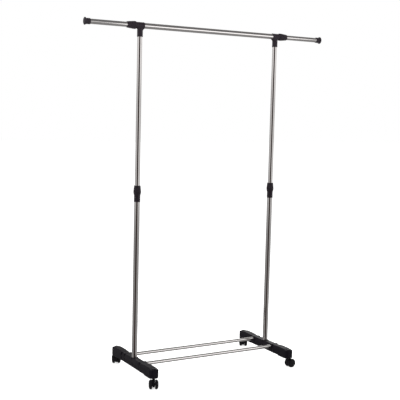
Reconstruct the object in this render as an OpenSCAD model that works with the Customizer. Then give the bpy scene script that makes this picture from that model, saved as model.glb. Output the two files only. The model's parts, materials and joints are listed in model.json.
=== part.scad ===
// Height-adjustable garment rail on casters.
// Frame: X runs along the rail, +Y points to the back, +Z is up.
// The origin is on the floor, midway between the two posts.

/* [Frame] */
// Distance between the axes of the two posts
post_spacing = 716; // [640:2:820]
// Height of the hanging rail's axis above the floor
rail_height = 1570; // [1400:5:1650]
// Top of the lower posts above the floor
lower_post_top = 820; // [780:5:840]
// Length of upper post that stays inside the lower post
post_overlap = 108; // [90:1:140]

/* [Tubes] */
// Outside diameter of the lower posts and the middle rail
big_tube_d = 25; // [24.5:0.5:26]
// Outside diameter of the upper posts and the extension rails
small_tube_d = 22; // [21:0.5:22]
// Outside diameter of the two bottom bars
bar_d = 16; // [14:1:18]
// Wall thickness of the posts and rails
tube_wall = 0.8; // [0.6:0.1:1]
// Distance between the two bottom bars
bar_spacing = 155; // [130:1:170]

/* [Extension rails] */
// Distance from the left post's axis to the outer face of its end cap
left_reach = 262; // [240:1:300]
// Distance from the right post's axis to the outer face of its end cap
right_reach = 270; // [240:1:300]
// Length of each extension rail
extension_len = 430; // [400:5:440]

/* [Feet and casters] */
// Length of each foot from front to back
foot_len = 426; // [400:2:460]
// Diameter of each caster wheel
wheel_d = 42; // [38:1:42]
// Swivel angle of the left front caster about its stem
left_front_swivel = 155; // [-180:5:175]
// Swivel angle of the right front caster about its stem
right_front_swivel = -85; // [-180:5:175]
// Swivel angle of the left rear caster about its stem
left_rear_swivel = -20; // [-180:5:175]
// Swivel angle of the right rear caster about its stem
right_rear_swivel = -35; // [-180:5:175]

/* [Fits] */
// Radial clearance between a tube or shaft and its bore
fit = 0.05; // [0.03:0.01:0.08]

/* [Hidden] */
$fn = 96;

black = [0.16, 0.155, 0.175];
dark = [0.1, 0.1, 0.11];
chrome = [0.8, 0.8, 0.81];
zinc = [0.62, 0.63, 0.65];

// Signs along X and Y
left = -1;
right = 1;
front = -1;
rear = 1;

seat_gap = 0.05;                 // between faces that meet
end_gap = 0.1;                   // at the end of a blind socket
over = 1;                        // cutters run this far past a face

// Tubes
post_x = post_spacing / 2;
big_r = big_tube_d / 2;
big_inner_r = big_r - tube_wall;
small_r = small_tube_d / 2;
small_inner_r = small_r - tube_wall;
bar_r = bar_d / 2;
bar_wall = 1;
bar_y = bar_spacing / 2;
bar_z = 74.5;
bar_end = 8;                     // bar sockets end this far outboard of the post's axis
rail_end = 14;                   // so does the middle rail's bore in each tee
post_seat = 58;                  // the lower posts stand here
upper_bottom = lower_post_top - post_overlap;
upper_top = rail_height - 18;

// Feet: a beam with a wider block at each end
foot_half = foot_len / 2;
beam_bottom = 48;
beam_top = 84.5;
block_bottom = 44.5;
block_top = 88;
block_half_width = 22.5;
block_len = 118;
tip_r = 19;                      // rounding of the block's tip in plan
rib = 2.2;                       // rib thickness
rib_y = foot_half - 60;

// Screws up into the lower posts
screw_r = 3;
screw_recess = 4;                // depth of the recess for the head

// Casters
caster_y = foot_half - 16;
stem_r = 4;
stem_bottom = 17;
stem_socket_top = 78;
wheel_r = wheel_d / 2;
trail = 14;                      // from the stem's axis to the axle's
axle_r = 2.5;
axle_half = 19;
caster_top = wheel_d + 0.4;      // top of the caster body
flange_z = caster_top + 0.15;

// Sleeves, clamps and collars
sleeve_len = 25;                 // length of sleeve around the lower post
sleeve_r = big_r + 1.5;
sleeve_lead = 1.5;               // height of the taper at the sleeve's lower rim
sleeve_bottom = lower_post_top - sleeve_len;
post_clamp_z = lower_post_top + 6;
rail_clamp = 21;                 // start of the rail's clamp, outboard of the post's axis
clamp_r = big_r + 0.6;
slot = 1.6;                      // width of the slots between the fingers
collar_gap = 0.2;                // between a collar and the shoulder behind it
collar_fit = 0.08;               // radial clearance inside a collar

// Tees
tee_bottom = rail_height - 49;
tee_inboard = 17;                // length of barrel inboard of the post's axis
tee_barrel_r = big_r + 1.8;
tee_stem_r = small_r + 1.7;
tee_rim_cut = 1;                 // length of the taper at each rim

// End caps
cap_len = 27;
cap_floor = 5;                   // from the rail's end to the cap's outer face

// ---------- helpers ----------

// A straight tube standing on z = 0
module tube(diameter, bore, length) {
    difference() {
        cylinder(h = length, d = diameter);
        translate([0, 0, -over]) cylinder(h = length + 2 * over, d = bore);
    }
}

// A tube along X, centred on X = 0
module cross_tube(diameter, bore, half, y, z) {
    translate([-half, y, z]) rotate([0, 90, 0]) tube(diameter, bore, 2 * half);
}

// Lays a shape built along +Z so that it runs outboard along the rail from a post's axis
module outboard(side) {
    translate([side * post_x, 0, rail_height]) rotate([0, side * 90, 0]) children();
}

module at_post(side) {
    translate([side * post_x, 0, 0]) children();
}

// Rows: left, right. Columns: front, rear.
swivels = [
    [left_front_swivel, left_rear_swivel],
    [right_front_swivel, right_rear_swivel]
];

// Turns a caster part about its stem; the axle lies along local X
module at_caster(side, end) {
    translate([side * post_x, end * caster_y, 0])
        rotate([0, 0, swivels[(side + 1) / 2][(end + 1) / 2]]) children();
}

// Distances from a post's axis to the outer and inner ends of its extension rail
function rail_out(side) = (side == left ? left_reach : right_reach) - cap_floor;
function rail_in(side) = rail_out(side) - extension_len;

module both_ends() {
    children();
    mirror([0, 1, 0]) children();
}

// ---------- feet ----------
// An inset of 0 gives the outside; a larger one gives the hollow, open at the bottom.

function open_rim(z, inset, drop = 1) = z - (inset > 0 ? drop : 0);

// Cross section: upright sides under a sloping shoulder
module foot_section(half_width, crest_half, bottom, shoulder, top, inset) {
    side = half_width - inset;
    crest = crest_half - inset * 0.7;
    rim = open_rim(bottom, inset);
    bend = shoulder - inset * 0.4;
    polygon([
        [-side, rim], [side, rim], [side, bend],
        [crest, top - inset], [-crest, top - inset], [-side, bend]
    ]);
}

module beam_section(inset) {
    foot_section(20.5, 13.5, beam_bottom, 70, beam_top, inset);
}

module block_section(inset) {
    foot_section(block_half_width, 15.5, block_bottom, 79, block_top, inset);
}

// Outline of one end block from the side, from the ramp to the tip: [y, z]
module block_profile(inset) {
    ramp_rim = open_rim(beam_bottom, inset, 5);
    rim = open_rim(block_bottom, inset);
    polygon([
        [foot_half - 116 + inset, ramp_rim],
        [foot_half - 74, ramp_rim],
        [foot_half - 66, rim],
        [foot_half - inset, rim],
        [foot_half - inset, 77 - inset * 0.4],
        [foot_half - 6 - inset * 0.6, 83 - inset],
        [foot_half - 38, block_top - inset],
        [foot_half - 84, block_top - inset],
        [foot_half - 112 + inset, beam_top - inset - 0.5]
    ]);
}

// Plan of one end block: parallel sides and a rounded tip
module block_plan(inset) {
    r = tip_r - inset;
    side = block_half_width - inset;
    flat = side - r;
    translate([-side, foot_half - block_len]) square([2 * side, block_len - tip_r]);
    translate([0, foot_half - tip_r]) intersection() {
        union() {
            for (s = [-1, 1]) translate([s * flat, 0]) circle(r);
            translate([-flat, -r]) square([2 * flat, 2 * r]);
        }
        translate([-side, -1]) square([2 * side, r + 2]);
    }
}

module end_block(inset) {
    intersection() {
        translate([0, 0, 20]) linear_extrude(90) block_plan(inset);
        rotate([90, 0, 90]) linear_extrude(70, center = true) block_profile(inset);
        translate([0, foot_half + 5, 0]) rotate([90, 0, 0]) linear_extrude(140)
            block_section(inset);
    }
}

// A length of beam section centred on y
module beam(y, length, inset) {
    translate([0, y, 0]) rotate([90, 0, 0]) linear_extrude(length, center = true)
        beam_section(inset);
}

// Beam and blocks, hollow underside, with the bosses and ribs left standing
module foot_shell() {
    difference() {
        union() {
            beam(0, 2 * (foot_half - 100), 0);
            both_ends() end_block(0);
        }
        // pockets between the post's boss and the bars' bosses
        for (s = [-1, 1]) beam(s * 37.5, 33, 2.5);
        // short pockets where the beam meets the blocks
        both_ends() beam(foot_half - 111, 6, 2.5);
        // block hollows, around a cross rib, a middle rib and the caster's boss
        both_ends() difference() {
            end_block(2.6);
            translate([-30, rib_y, 0]) cube([60, rib, 100]);
            translate([-rib / 2, rib_y, 0]) cube([rib, 80, 100]);
            translate([0, caster_y, 0]) cylinder(h = 100, r = 8.5);
        }
    }
}

// One moulded foot about its post's axis, inner side toward +X
module foot() {
    difference() {
        union() {
            foot_shell();
            // boss around the post
            translate([0, 0, beam_bottom]) cylinder(h = beam_top + 0.8 - beam_bottom, r = 17.5);
            // bosses around the bottom bars
            for (s = [-1, 1]) translate([-19.5, s * bar_y, bar_z]) rotate([0, 90, 0])
                cylinder(h = 41, r = bar_r + 3);
            // low round pads over the caster sockets
            both_ends() translate([0, caster_y, 80]) cylinder(h = 6.8, r1 = 11.5, r2 = 9.5);
        }
        // post socket, screw hole and the recess for the screw's head
        translate([0, 0, post_seat]) cylinder(h = 40, r = big_r + fit);
        translate([0, 0, beam_bottom - over]) cylinder(h = 20, r = screw_r + 0.2);
        translate([0, 0, beam_bottom - over]) cylinder(h = screw_recess + over, r = 6.5);
        // blind sockets for the bottom bars
        for (s = [-1, 1]) translate([-bar_end, s * bar_y, bar_z]) rotate([0, 90, 0])
            cylinder(h = 60, r = bar_r + fit);
        // blind sockets for the caster stems
        both_ends() translate([0, caster_y, block_bottom - 10])
            cylinder(h = stem_socket_top - block_bottom + 10, r = stem_r + fit);
    }
}
module left_foot() { color(black) at_post(left) foot(); }
module right_foot() { color(black) at_post(right) mirror([1, 0, 0]) foot(); }

// ---------- base ----------

module bottom_bar(end) {
    color(chrome)
        cross_tube(bar_d, bar_d - 2 * bar_wall, post_x + bar_end - end_gap, end * bar_y, bar_z);
}
module front_bottom_bar() { bottom_bar(front); }
module rear_bottom_bar() { bottom_bar(rear); }

module lower_post(side) {
    color(chrome) at_post(side) translate([0, 0, post_seat + seat_gap])
        tube(big_tube_d, 2 * big_inner_r, lower_post_top - post_seat - 2 * seat_gap);
}
module left_lower_post() { lower_post(left); }
module right_lower_post() { lower_post(right); }

// Plastic plug in the bottom of a lower post, with the blind hole for its screw
module post_plug(side) {
    color(dark) at_post(side) translate([0, 0, post_seat + seat_gap]) difference() {
        cylinder(h = 17, r = big_inner_r - fit);
        translate([0, 0, -over]) cylinder(h = 15 + over, r = screw_r + fit);
    }
}
module left_post_plug() { post_plug(left); }
module right_post_plug() { post_plug(right); }

// Cross-recessed screws up through the feet into the plugs
module post_screws() {
    head_lift = 0.3; // head's underside above the foot's rim
    color(zinc) for (side = [left, right]) at_post(side) difference() {
        union() {
            translate([0, 0, beam_bottom + head_lift])
                cylinder(h = screw_recess - seat_gap - head_lift, r = 5.5);
            translate([0, 0, beam_bottom + 3]) cylinder(h = 18, r = screw_r);
        }
        translate([0, 0, beam_bottom - over]) linear_extrude(2.6 + over)
            for (a = [0, 90]) rotate(a) square([6, 1.2], center = true);
    }
}

// Steel stems pressed up into the feet; each carries a caster body below its flange
module caster_stems() {
    color(zinc) for (side = [left, right], end = [front, rear])
        translate([side * post_x, end * caster_y, 0]) {
            translate([0, 0, stem_bottom])
                cylinder(h = stem_socket_top - end_gap - stem_bottom, r = stem_r);
            translate([0, 0, flange_z])
                cylinder(h = block_bottom - seat_gap - flange_z, r = 7);
        }
}

// ---------- clamp sleeves and collars ----------

// Slotted clamping fingers around a small tube, built along +Z
module collet(start, length) {
    difference() {
        translate([0, 0, start]) cylinder(h = length, r = clamp_r);
        translate([0, 0, start - over]) cylinder(h = length + 2 * over, r = small_r + fit);
        for (a = [0, 90]) rotate(a) translate([-30, -slot / 2, start + 8])
            cube([60, slot, length]);
    }
}

module post_sleeve(side) {
    color(black) at_post(side) union() {
        difference() {
            union() {
                translate([0, 0, sleeve_bottom])
                    cylinder(h = sleeve_lead, r1 = sleeve_r - 0.6, r2 = sleeve_r);
                translate([0, 0, sleeve_bottom + sleeve_lead])
                    cylinder(h = post_clamp_z - sleeve_bottom - sleeve_lead, r = sleeve_r);
            }
            translate([0, 0, sleeve_bottom - over])
                cylinder(h = sleeve_len + over, r = big_r + fit);
            translate([0, 0, sleeve_bottom]) cylinder(h = 60, r = small_r + fit);
        }
        collet(post_clamp_z, 30);
    }
}
module left_post_sleeve() { post_sleeve(left); }
module right_post_sleeve() { post_sleeve(right); }

// Outer profiles of the collars from the large bore's end: [radius, z]
post_collar_outline = [
    [14.4, 0], [14.9, 0.6], [16.6, 8], [17, 12], [17, 17], [14.9, 40.5], [14.3, 41.8]
];
rail_collar_outline = [
    [15.6, 0], [16.6, 1], [17.2, 3], [17.2, 9], [13.6, 42], [13.1, 42.8]
];

// Twist collar with grooves around it; its large bore is `depth` deep
module collar(outline, depth) {
    length = outline[len(outline) - 1][1];
    tube_bore = small_r + collar_fit;
    clamp_bore = clamp_r + collar_fit;
    grooves = 18;
    difference() {
        rotate_extrude() polygon(concat(
            [[tube_bore, length], [tube_bore, depth], [clamp_bore, depth], [clamp_bore, 0]],
            outline));
        for (i = [0 : grooves - 1]) rotate(i * 360 / grooves) translate([17.75, 0, -over])
            cylinder(h = length + 2 * over, r = 1.1, $fn = 24);
    }
}

module post_collar(side) {
    color(black) at_post(side) translate([0, 0, post_clamp_z + collar_gap])
        collar(post_collar_outline, 31.5);
}
module left_post_collar() { post_collar(left); }
module right_post_collar() { post_collar(right); }

module rail_collar(side) {
    color(black) outboard(side) translate([0, 0, rail_clamp + collar_gap])
        collar(rail_collar_outline, 32.5);
}
module left_rail_collar() { rail_collar(left); }
module right_rail_collar() { rail_collar(right); }

// ---------- upper posts, tees and rails ----------

module upper_post(side) {
    color(chrome) at_post(side) translate([0, 0, upper_bottom])
        tube(small_tube_d, 2 * small_inner_r, upper_top - upper_bottom - seat_gap);
}
module left_upper_post() { upper_post(left); }
module right_upper_post() { upper_post(right); }

// Plastic slide plugged into the end of an inner tube; the tube starts at z = 0
module slide_guide() {
    difference() {
        union() {
            translate([0, 0, -8]) cylinder(h = 8 - seat_gap, r = big_inner_r - fit);
            translate([0, 0, -1]) cylinder(h = 16, r = small_inner_r - fit);
        }
        translate([0, 0, -8 - over]) cylinder(h = 30, r = small_inner_r - 2.2);
    }
}

module post_guide(side) {
    color(dark) at_post(side) translate([0, 0, upper_bottom]) slide_guide();
}
module left_post_guide() { post_guide(left); }
module right_post_guide() { post_guide(right); }

// Tee joining a post, the middle rail and the clamp of an extension rail
module tee(side) {
    color(black) difference() {
        union() {
            // barrel along the rail
            outboard(side) {
                translate([0, 0, -tee_inboard])
                    cylinder(h = tee_inboard + rail_clamp, r = tee_barrel_r);
                translate([0, 0, -tee_inboard - tee_rim_cut])
                    cylinder(h = tee_rim_cut, r1 = tee_barrel_r - 0.6, r2 = tee_barrel_r);
                collet(rail_clamp, 31);
            }
            // stem down the post, flaring into the barrel
            at_post(side) {
                translate([0, 0, tee_bottom + tee_rim_cut])
                    cylinder(h = rail_height - tee_bottom - tee_rim_cut, r = tee_stem_r);
                translate([0, 0, tee_bottom])
                    cylinder(h = tee_rim_cut, r1 = tee_stem_r - 0.5, r2 = tee_stem_r);
                translate([0, 0, rail_height - 22])
                    cylinder(h = 8, r1 = tee_stem_r, r2 = tee_barrel_r);
            }
            // web blending the stem into the inboard end
            hull() {
                outboard(side) translate([0, 0, -tee_inboard])
                    cylinder(h = 1, r = tee_barrel_r - 0.1, $fn = 32);
                at_post(side) translate([0, 0, rail_height - 19])
                    cylinder(h = 1, r = tee_stem_r - 0.1, $fn = 32);
            }
        }
        // bores for the middle rail, the extension rail and the upper post
        outboard(side) translate([0, 0, -30]) cylinder(h = 30 + rail_end, r = big_r + fit);
        outboard(side) cylinder(h = 80, r = small_r + fit);
        at_post(side) translate([0, 0, tee_bottom - 5])
            cylinder(h = upper_top - tee_bottom + 5, r = small_r + fit);
    }
}
module left_tee() { tee(left); }
module right_tee() { tee(right); }

module middle_rail() {
    color(chrome)
        cross_tube(big_tube_d, 2 * big_inner_r, post_x + rail_end - end_gap, 0, rail_height);
}

module extension_rail(side) {
    color(chrome) outboard(side) translate([0, 0, rail_in(side)])
        tube(small_tube_d, 2 * small_inner_r, extension_len);
}
module left_extension_rail() { extension_rail(left); }
module right_extension_rail() { extension_rail(right); }

module rail_guide(side) {
    color(dark) outboard(side) translate([0, 0, rail_in(side)]) slide_guide();
}
module left_rail_guide() { rail_guide(left); }
module right_rail_guide() { rail_guide(right); }

// Half section of an end cap from its open end: [radius, z]
cap_outline = [
    [0, 0], [12.5, 0], [13, 0.6], [13, 16.5], [13.3, 18.5], [14.4, 20.2], [16, 21.4],
    [16.5, 22.2], [16.5, 24], [15.9, 25], [13, 26], [8, 26.8], [0, cap_len]
];

// Flared stop on the end of an extension rail
module end_cap(side) {
    color(black) outboard(side) translate([0, 0, rail_out(side) + cap_floor - cap_len])
        difference() {
            rotate_extrude() polygon(cap_outline);
            translate([0, 0, -over])
                cylinder(h = cap_len - cap_floor + seat_gap + over, r = small_r + fit);
        }
}
module left_end_cap() { end_cap(left); }
module right_end_cap() { end_cap(right); }

// ---------- casters ----------

// Side outline of the body between the wheels: [local y, z]
body_outline = [
    [-4, 9], [trail, 7], [trail + 8.5, 9.5], [trail + 10.5, 16], [trail + 10, 24],
    [trail + 4, 33], [6, wheel_d - 2], [-4, wheel_d - 2]
];

module caster_body(side, end) {
    color(dark) at_caster(side, end) difference() {
        union() {
            // stem housing, middle plate, top rim and axle hub
            translate([0, 0, 11]) cylinder(h = caster_top - 11, r = 6.5);
            rotate([90, 0, 90]) linear_extrude(11, center = true) polygon(body_outline);
            translate([0, 0, wheel_d - 3]) cylinder(h = caster_top - wheel_d + 3, r = 8);
            translate([-6.5, trail, wheel_r]) rotate([0, 90, 0]) cylinder(h = 13, r = 5.5);
        }
        translate([0, 0, stem_bottom - end_gap]) cylinder(h = 60, r = stem_r + fit);
        translate([0, trail, wheel_r]) rotate([0, 90, 0])
            cylinder(h = 60, r = axle_r + 0.02, center = true);
    }
}
module left_front_caster_body() { caster_body(left, front); }
module right_front_caster_body() { caster_body(right, front); }
module left_rear_caster_body() { caster_body(left, rear); }
module right_rear_caster_body() { caster_body(right, rear); }

module axle(side, end) {
    color(zinc) at_caster(side, end) translate([-axle_half, trail, wheel_r])
        rotate([0, 90, 0]) cylinder(h = 2 * axle_half, r = axle_r);
}
module left_front_axle() { axle(left, front); }
module right_front_axle() { axle(right, front); }
module left_rear_axle() { axle(left, rear); }
module right_rear_axle() { axle(right, rear); }

// Half section of a wheel: [radius, distance from the caster's middle along the axle]
crown = 1.6; // rise of the tread from its inner edge
wheel_outline = concat(
    [[0, 6.8], [wheel_r - crown, 6.8]],
    [for (i = [0 : 6]) [wheel_r - crown * pow(1 - i / 6, 2), 7.4 + i * 0.75]],
    [for (i = [1 : 12]) let (a = i * 7.5) [wheel_r - 11 * (1 - cos(a)), 11.9 + 9.2 * sin(a)]],
    [[5, 21.5], [0, 21.5]]
);

// One wheel with a crowned tread and a domed outer face; facing is its sign along local X
module wheel(side, end, facing) {
    color(dark) at_caster(side, end) translate([0, trail, wheel_r])
        rotate([0, facing * 90, 0]) difference() {
            rotate_extrude() polygon(wheel_outline);
            cylinder(h = axle_half + end_gap, r = axle_r + fit);
            // recess in the inner face, around the hub
            translate([0, 0, 6]) difference() {
                cylinder(h = 5.5, r = wheel_r - 4);
                cylinder(h = 6, r = 6);
            }
        }
}
module left_front_outer_wheel() { wheel(left, front, 1); }
module left_front_inner_wheel() { wheel(left, front, -1); }
module right_front_outer_wheel() { wheel(right, front, 1); }
module right_front_inner_wheel() { wheel(right, front, -1); }
module left_rear_outer_wheel() { wheel(left, rear, 1); }
module left_rear_inner_wheel() { wheel(left, rear, -1); }
module right_rear_outer_wheel() { wheel(right, rear, 1); }
module right_rear_inner_wheel() { wheel(right, rear, -1); }

left_foot();
right_foot();
front_bottom_bar();
rear_bottom_bar();
left_lower_post();
right_lower_post();
left_post_sleeve();
right_post_sleeve();
left_post_plug();
right_post_plug();
post_screws();
caster_stems();
left_upper_post();
right_upper_post();
left_tee();
right_tee();
middle_rail();
left_post_guide();
right_post_guide();
left_extension_rail();
right_extension_rail();
left_end_cap();
right_end_cap();
left_rail_guide();
right_rail_guide();
left_post_collar();
right_post_collar();
left_rail_collar();
right_rail_collar();
left_front_caster_body();
right_front_caster_body();
left_rear_caster_body();
right_rear_caster_body();
left_front_axle();
right_front_axle();
left_rear_axle();
right_rear_axle();
left_front_outer_wheel();
left_front_inner_wheel();
right_front_outer_wheel();
right_front_inner_wheel();
left_rear_outer_wheel();
left_rear_inner_wheel();
right_rear_outer_wheel();
right_rear_inner_wheel();
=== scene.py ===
# A wheeled stand: two feet on twin-wheel casters, joined by a front and a rear bottom bar, each
# carry a telescopic post; a level rail with a sliding extension at each end joins the post tops.
# X runs left (-) to right (+), the front faces -Y, and Z rises from the floor.
# Shapes are worked out in millimetres; stage, lights and camera are in metres.
import bpy, bmesh, json, math
import numpy as np
from mathutils import Matrix, Vector
from types import SimpleNamespace


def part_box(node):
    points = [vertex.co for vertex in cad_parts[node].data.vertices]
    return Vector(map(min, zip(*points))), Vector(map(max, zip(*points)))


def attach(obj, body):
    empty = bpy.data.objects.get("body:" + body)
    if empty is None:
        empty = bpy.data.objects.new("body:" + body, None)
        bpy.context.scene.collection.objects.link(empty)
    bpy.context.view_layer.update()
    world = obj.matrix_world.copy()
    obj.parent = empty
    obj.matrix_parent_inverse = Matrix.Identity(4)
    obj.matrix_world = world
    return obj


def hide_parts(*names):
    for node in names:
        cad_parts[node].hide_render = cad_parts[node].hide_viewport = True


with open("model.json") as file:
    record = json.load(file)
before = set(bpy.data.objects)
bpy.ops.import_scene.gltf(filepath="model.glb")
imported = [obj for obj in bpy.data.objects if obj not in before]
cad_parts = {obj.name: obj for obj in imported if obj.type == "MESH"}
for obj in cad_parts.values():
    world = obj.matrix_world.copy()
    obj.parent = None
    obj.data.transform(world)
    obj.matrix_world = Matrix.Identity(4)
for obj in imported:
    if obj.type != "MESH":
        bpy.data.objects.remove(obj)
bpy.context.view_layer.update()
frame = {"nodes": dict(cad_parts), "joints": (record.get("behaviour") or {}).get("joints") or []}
JOINT = {joint["name"]: joint for joint in frame["joints"]}
MM = 0.001
SIDES = (("left", -1), ("right", 1))
ENDS = (("front", -1), ("rear", 1))


# ---------------------------------------------------------------------------
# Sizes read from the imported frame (millimetres)
# ---------------------------------------------------------------------------
def box_mm(node):
    low, high = (np.array(corner) * 1000.0 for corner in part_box(node))
    return SimpleNamespace(low=low, high=high, middle=(low + high) / 2, half=(high - low) / 2)


def outward_span(node, sign):
    """Inboard and outboard ends of a piece, as distances from the middle of the stand."""
    box = box_mm(node)
    return sorted((sign * box.low[0], sign * box.high[0]))


lower_post = box_mm("right_lower_post")
upper_post = box_mm("right_upper_post")
middle_rail = box_mm("middle_rail")
bottom_bar = box_mm("front_bottom_bar")
post_sleeve = box_mm("left_post_sleeve")
post_collar = box_mm("left_post_collar")
rail_collar = box_mm("right_rail_collar")

POST_X = lower_post.middle[0]
WIDE_R = lower_post.half[0]                 # lower posts and middle rail
SLIM_R = upper_post.half[0]                 # upper posts and extensions
LOWER_Z = lower_post.low[2], lower_post.high[2]
UPPER_Z = upper_post.low[2], upper_post.high[2]
RAIL_Z, RAIL_HALF = middle_rail.middle[2], middle_rail.high[0]
BAR_R, BAR_HALF = bottom_bar.half[2], bottom_bar.high[0]
BAR_Y, BAR_Z = abs(bottom_bar.middle[1]), bottom_bar.middle[2]
EXTENSION_X = {side: outward_span(f"{side}_extension_rail", sign) for side, sign in SIDES}
CAP_X = {side: outward_span(f"{side}_end_cap", sign)[0] for side, sign in SIDES}
FOOT_HALF = box_mm("left_foot").half[1]
SLEEVE_Z0, SLEEVE_Z1 = post_sleeve.low[2], post_sleeve.high[2]
POST_COLLAR_Z = post_collar.low[2]
POST_COLLAR_LENGTH = post_collar.high[2] - post_collar.low[2]
RAIL_COLLAR_START = rail_collar.low[0] - POST_X      # outboard from the post's axis
RAIL_COLLAR_LENGTH = rail_collar.high[0] - POST_X - RAIL_COLLAR_START
TEE_BOTTOM = box_mm("left_tee").low[2] - RAIL_Z      # from the rail's axis
CASTER_Y = abs(JOINT["left_front_swivel"]["pos_m"][1]) * 1000

TUBE_WALL = 0.8
BAR_WALL = 1.0
FIT = 0.05                                  # radial clearance of a socket
WIDE_BORE = WIDE_R + FIT
SLIM_BORE = SLIM_R + FIT


# ---------------------------------------------------------------------------
# Mesh helpers
# ---------------------------------------------------------------------------
def add_object(name, verts, faces, sharp=35.0, weld=True):
    """verts are in millimetres; edges over sharp degrees stay crisp, 0 leaves all smooth."""
    mesh = bpy.data.meshes.new(name)
    points = [tuple(point) for point in np.asarray(verts, float) * MM]
    mesh.from_pydata(points, [], [tuple(int(i) for i in face) for face in faces])
    mesh.validate()
    mesh.update()
    bm = bmesh.new()
    bm.from_mesh(mesh)
    if weld:
        bmesh.ops.remove_doubles(bm, verts=bm.verts, dist=1e-6)
    bmesh.ops.recalc_face_normals(bm, faces=bm.faces)
    bm.to_mesh(mesh)
    bm.free()
    mesh.polygons.foreach_set("use_smooth", [True] * len(mesh.polygons))
    if sharp:
        mesh.set_sharp_from_angle(angle=math.radians(sharp))
    obj = bpy.data.objects.new(name, mesh)
    bpy.context.scene.collection.objects.link(obj)
    return obj


def revolve(profile, segments, closed=False, radial=None):
    """Turns (r, z) points about Z. closed joins the last point to the first; otherwise points
    with r = 0 are poles. radial(angle, r, z, index) may change the radius round a ring."""
    verts, rings = [], []
    for index, (r, z) in enumerate(profile):
        if r < 1e-6:
            rings.append([len(verts)])
            verts.append((0.0, 0.0, z))
            continue
        ring = []
        for k in range(segments):
            angle = 2 * math.pi * k / segments
            radius = radial(angle, r, z, index) if radial else r
            ring.append(len(verts))
            verts.append((radius * math.cos(angle), radius * math.sin(angle), z))
        rings.append(ring)
    pairs = list(zip(rings, rings[1:]))
    if closed:
        pairs.append((rings[-1], rings[0]))
    faces = []
    for near, far in pairs:
        if len(near) == 1 and len(far) == 1:
            continue
        for k in range(segments):
            after = (k + 1) % segments
            if len(near) == 1:
                faces.append((near[0], far[k], far[after]))
            elif len(far) == 1:
                faces.append((near[k], far[0], near[after]))
            else:
                faces.append((near[k], far[k], far[after], near[after]))
    return np.array(verts), faces


def revolve_shell(outer, inner, segments):
    """Two skins of (r, z) points, both starting from the first outer point."""
    outer_verts, outer_faces = revolve(outer, segments)
    inner_verts, inner_faces = revolve([outer[0]] + inner, segments)
    first = len(outer_verts)
    faces = outer_faces + [tuple(i + first for i in face) for face in inner_faces]
    return np.concatenate([outer_verts, inner_verts]), faces


def place(verts, origin, axis):
    """Moves points built about +Z so that +Z becomes axis and zero moves to origin."""
    z = np.array(axis, float)
    z /= np.linalg.norm(z)
    reference = np.array([0, 0, 1.0]) if abs(z[2]) < 0.9 else np.array([1.0, 0, 0])
    x = np.cross(reference, z)
    x /= np.linalg.norm(x)
    y = np.cross(z, x)
    return verts @ np.array([x, y, z]) + np.array(origin, float)


def spline(points, steps):
    """Catmull-Rom curve through (r, z) points, with so many steps a span."""
    p = [np.array(point, float) for point in points]
    p = [2 * p[0] - p[1]] + p + [2 * p[-1] - p[-2]]
    curve = []
    for before, start, end, after in zip(p, p[1:], p[2:-1], p[3:]):
        for k in range(steps):
            t = k / steps
            curve.append(tuple(0.5 * (
                (2 * start) + (-before + end) * t
                + (2 * before - 5 * start + 4 * end - after) * t * t
                + (-before + 3 * start - 3 * end + after) * t ** 3)))
    curve.append(tuple(p[-2]))
    return curve


# ---------------------------------------------------------------------------
# Signed distances (negative inside), for moulded parts with real fillets
# ---------------------------------------------------------------------------
def smooth_min(a, b, blend):
    """Union of two shapes, filleted over about blend."""
    h = np.clip(0.5 + 0.5 * (b - a) / blend, 0, 1)
    return b * (1 - h) + a * h - blend * h * (1 - h)


def smooth_max(a, b, blend):
    """Overlap of two shapes, with the edge rounded."""
    return -smooth_min(-a, -b, blend)


def carve(body, tool, blend):
    return smooth_max(body, -tool, blend)


def slab(value, low, high):
    return np.maximum(low - value, value - high)


def cylinder(u, v, radius, along, low, high, rim=0.0):
    """u and v are measured from the axis; rim rounds the ends."""
    side, ends = np.hypot(u, v) - radius, slab(along, low, high)
    return smooth_max(side, ends, rim) if rim else np.maximum(side, ends)


def polygon(u, v, points):
    """Distance to a closed polygon in the (u, v) plane."""
    points = np.array(points, float)
    squared = np.full(u.shape, 1e18)
    sign = np.ones(u.shape)
    for start, end in zip(points, np.roll(points, 1, axis=0)):
        edge = end - start
        du, dv = u - start[0], v - start[1]
        t = np.clip((du * edge[0] + dv * edge[1]) / (edge @ edge), 0, 1)
        off_u, off_v = du - edge[0] * t, dv - edge[1] * t
        squared = np.minimum(squared, off_u * off_u + off_v * off_v)
        above, below = v >= start[1], v < end[1]
        beside = edge[0] * dv > edge[1] * du
        crossed = (above & below & beside) | (~above & ~below & ~beside)
        sign = np.where(crossed, -sign, sign)
    return sign * np.sqrt(squared)


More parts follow.
